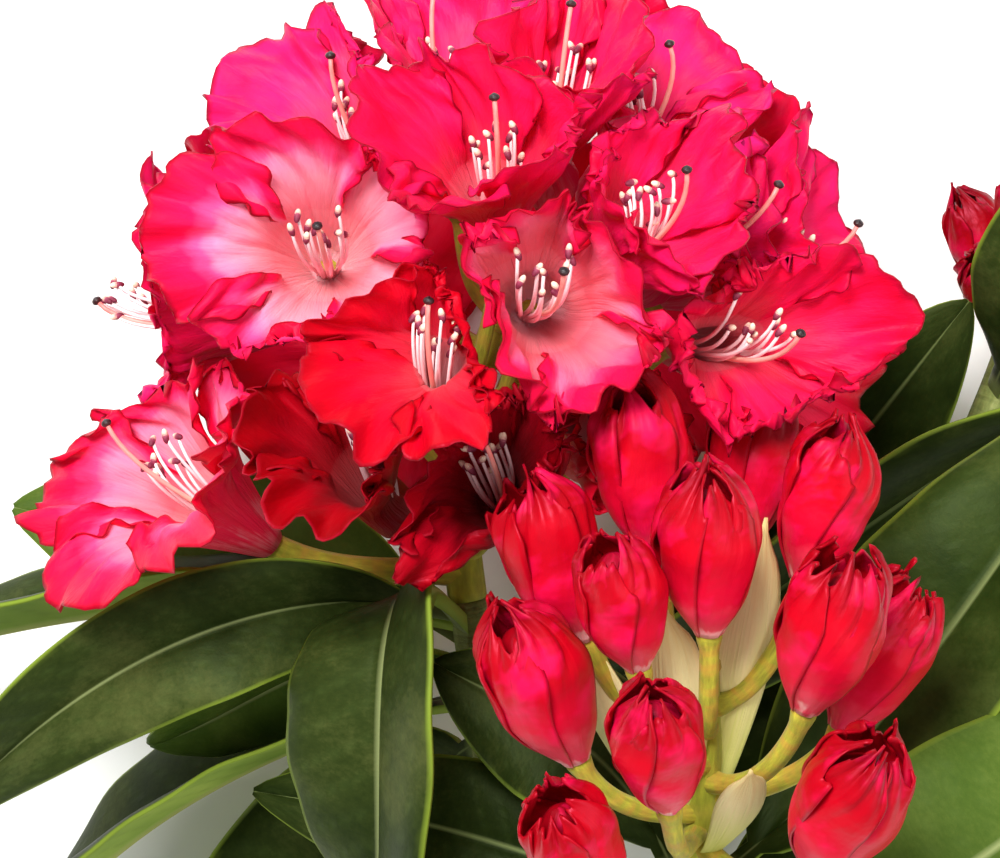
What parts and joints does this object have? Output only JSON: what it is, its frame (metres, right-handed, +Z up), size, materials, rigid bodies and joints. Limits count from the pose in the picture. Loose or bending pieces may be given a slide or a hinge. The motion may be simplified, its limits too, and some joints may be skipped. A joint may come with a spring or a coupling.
{
  "type": "flowering rhododendron branch",
  "caption": "Cut rhododendron branch lying on its side: a dome of frilled red-and-pink flowers, a truss of buds, and whorls of leathery leaves on woody shoots.",
  "frame": {"origin": "middle of the branch's box, on the surface that it lies on", "axes": "+X to the right along the branch's longest extent, +Y the way the shoots grow, from the cut end to the flowers, +Z up from the surface"},
  "size_m": [0.3532, 0.3368, 0.1728],
  "materials": {
    "wood": "matt bark, greenish brown near the leaves",
    "stalk": "downy yellow-green stalk and scales, flushed pink",
    "petal": "soft petal, crimson outside and at the frilled margin, pale pink inside",
    "bud": "satin deep red bud, darker at its crumpled tip",
    "leaf": "leathery satin leaf, dark green with a pale midrib"
  },
  "bodies": {
    "root": {"main_stem": "wood", "main_shoot": "wood", "near_shoot": "wood", "far_shoot": "wood", "main_truss_stalk": "stalk", "flower_front_left": "petal", "flower_front_right": "petal", "flower_low_left": "petal", "flower_low_left_inner": "petal", "flower_low_middle": "petal", "flower_low_front": "petal", "flower_high_front": "petal", "flower_top": "petal", "flower_right_front": "petal", "flower_right_low": "petal", "flower_right_side": "petal", "flower_right_under": "petal", "flower_high_left": "petal", "flower_left_side": "petal", "flower_high_right": "petal", "flower_right_upper": "petal", "flower_low_right": "petal", "flower_top_left": "petal", "flower_back_top": "petal", "flower_back_high_left": "petal", "flower_back_high_right": "petal", "flower_back_left": "petal", "flower_back_right": "petal", "bud_left_bottom": "bud", "bud_right_lower": "bud", "bud_front_lower": "bud", "bud_left_lower": "bud", "bud_right_side": "bud", "bud_right_front": "bud", "bud_front_left": "bud", "bud_left_upper": "bud", "bud_front_upper": "bud", "bud_right_back": "bud", "bud_top": "bud", "bud_top_back": "bud", "near_truss_stalk": "stalk", "far_truss": "bud", "leaf_left_front": "leaf", "leaf_left_back": "leaf", "leaf_left_middle": "leaf", "leaf_front": "leaf", "leaf_low_left": "leaf", "leaf_bottom_left": "leaf", "leaf_bottom": "leaf", "leaf_right_back": "leaf", "leaf_right_middle": "leaf", "leaf_right_front": "leaf", "near_leaf_low_right": "leaf", "near_leaf_up_right": "leaf", "near_leaf_right": "leaf", "near_leaf_left": "leaf", "near_leaf_left_low": "leaf", "near_leaf_down": "leaf", "far_leaf_front": "leaf", "far_leaf_right": "leaf"}
  },
  "joints": []
}
